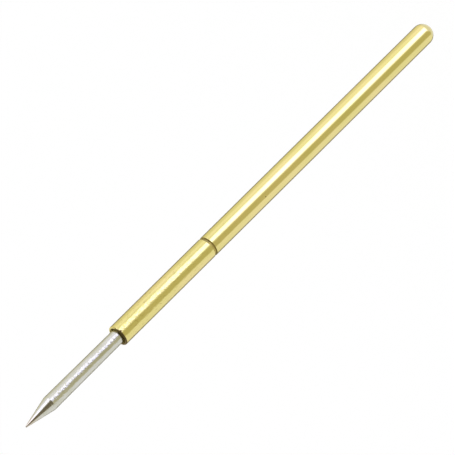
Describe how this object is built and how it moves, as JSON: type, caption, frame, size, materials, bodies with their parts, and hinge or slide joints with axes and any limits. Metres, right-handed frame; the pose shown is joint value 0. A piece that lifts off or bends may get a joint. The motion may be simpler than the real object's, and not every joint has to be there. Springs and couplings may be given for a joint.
{
  "type": "pogo pin",
  "caption": "Spring-loaded contact probe: a gold-plated barrel with a round closed tail and a roll crimp, and a sliding plunger with a conical point.",
  "frame": {"origin": "lowest point of the round tail, on the probe's axis", "axes": "+Z along the probe's axis, from the tail to the plunger's point; X and Y are alike"},
  "size_m": [0.001, 0.001, 0.0279],
  "materials": {
    "gold_plated_brass": "polished",
    "nickel_plated_metal": "satin",
    "spring_wire": "satin"
  },
  "bodies": {
    "barrel": {"barrel": "gold_plated_brass", "spring": "spring_wire"},
    "plunger": {"plunger": "nickel_plated_metal"}
  },
  "joints": [
    {"name": "plunger_travel", "type": "slide", "parent": "barrel", "child": "plunger", "axis": [0, 0, -1], "range_m": [0, 0.004], "stiffness_N_per_m": 240, "springref_m": -0.0011, "deforming": ["spring"]}
  ]
}
